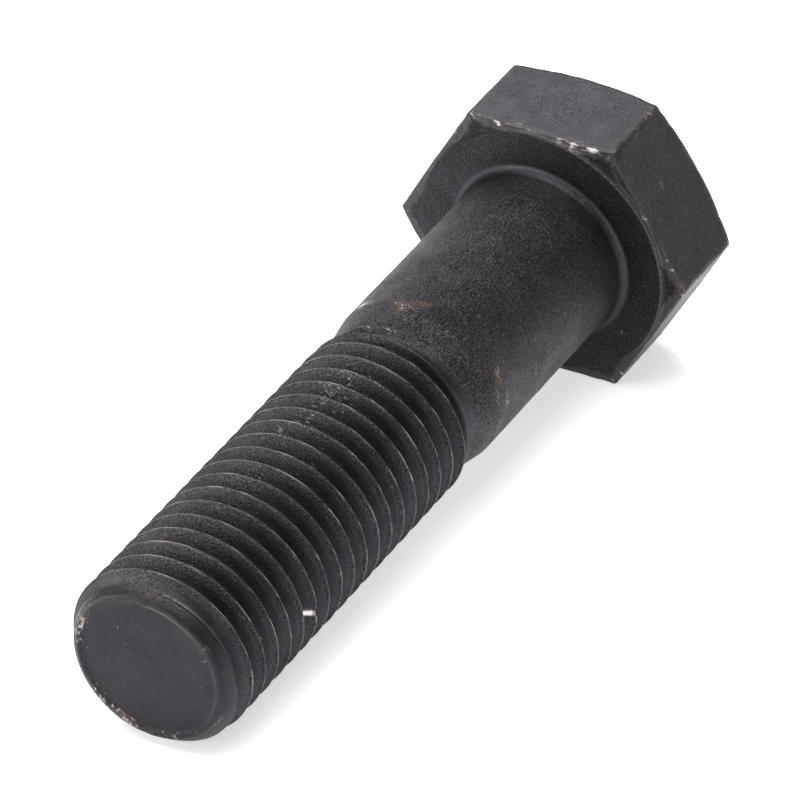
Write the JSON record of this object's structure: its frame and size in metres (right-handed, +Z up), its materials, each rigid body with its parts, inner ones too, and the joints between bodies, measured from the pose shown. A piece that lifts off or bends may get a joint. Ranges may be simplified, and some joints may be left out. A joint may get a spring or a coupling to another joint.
{
  "type": "hex bolt",
  "caption": "Partly threaded hex-head bolt in dark quenched steel, lying on its side, with a washer face, plain shank, right-hand metric thread and chamfered point.",
  "frame": {"origin": "on the bolt's axis, in the bearing plane under the head, where the grip length is measured from", "axes": "+X along the axis from the bearing plane into the head, so the shank and point run towards -X; +Z up through the middle of one wrench flat; +Y towards a corner of the hexagon"},
  "size_m": [0.0925, 0.0346, 0.03],
  "materials": {
    "blackened_steel": "satin black oxide, worn to bare metal and slightly rusty on the edges"
  },
  "bodies": {
    "root": {"hex_bolt": "blackened_steel"}
  },
  "joints": []
}
